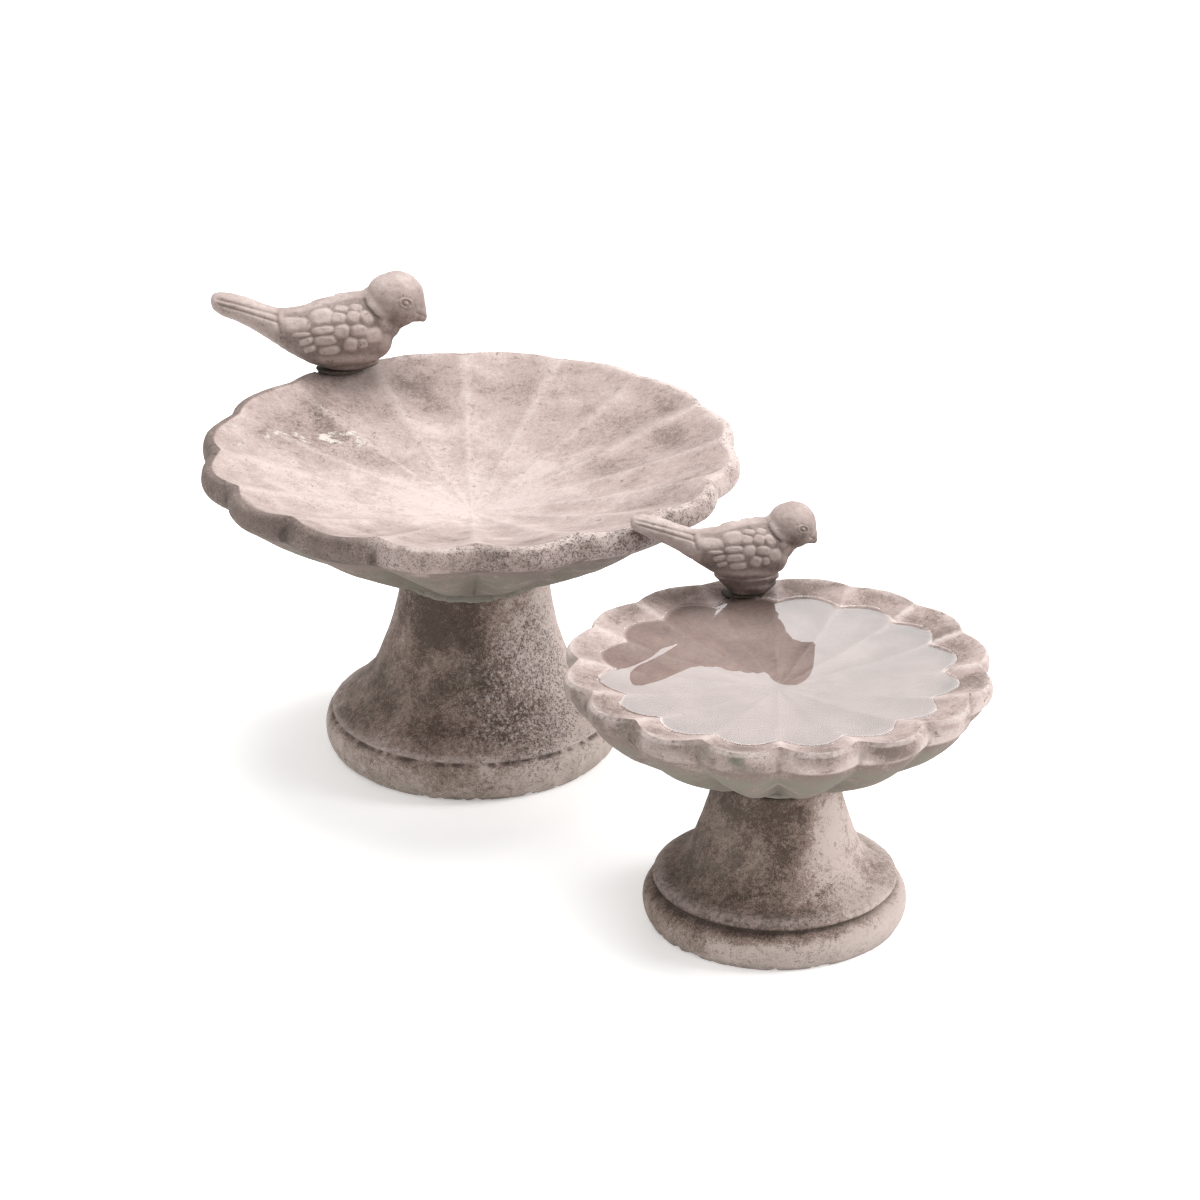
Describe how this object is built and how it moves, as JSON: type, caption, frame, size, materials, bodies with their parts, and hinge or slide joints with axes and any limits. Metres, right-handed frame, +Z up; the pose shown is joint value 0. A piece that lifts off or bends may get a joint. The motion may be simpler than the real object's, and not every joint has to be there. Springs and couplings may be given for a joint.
{
  "type": "bird bath pair",
  "caption": "Free-standing large and small cast-stone bird baths, each a turned pedestal, a mortared scalloped bowl and a pinned bird on the rim.",
  "frame": {"origin": "on the ground, at the centre of the large bath's round foot", "axes": "+Z up; -Y is the side that both birds show in profile, beaks towards +X; the small bath stands towards +X and -Y"},
  "size_m": [0.4273, 0.4704, 0.2399],
  "materials": {
    "pedestal_stone": "matte",
    "bowl_stone": "matte",
    "bird_stone": "matte",
    "mortar": "matte",
    "pin_steel": "satin"
  },
  "bodies": {
    "large_bath": {"large_pedestal": "pedestal_stone", "large_bowl_mortar": "mortar", "large_bowl": "bowl_stone", "large_bird_mortar": "mortar", "large_bird_pin": "pin_steel", "large_bird": "bird_stone"},
    "small_bath": {"small_pedestal": "pedestal_stone", "small_bowl_mortar": "mortar", "small_bowl": "bowl_stone", "small_bird_mortar": "mortar", "small_bird_pin": "pin_steel", "small_bird": "bird_stone"}
  },
  "joints": [
    {"name": "small_bath_slide", "type": "slide", "parent": "large_bath", "child": "small_bath", "axis": [0.6183, -0.786, 0], "range_m": [0, 0.3]}
  ]
}
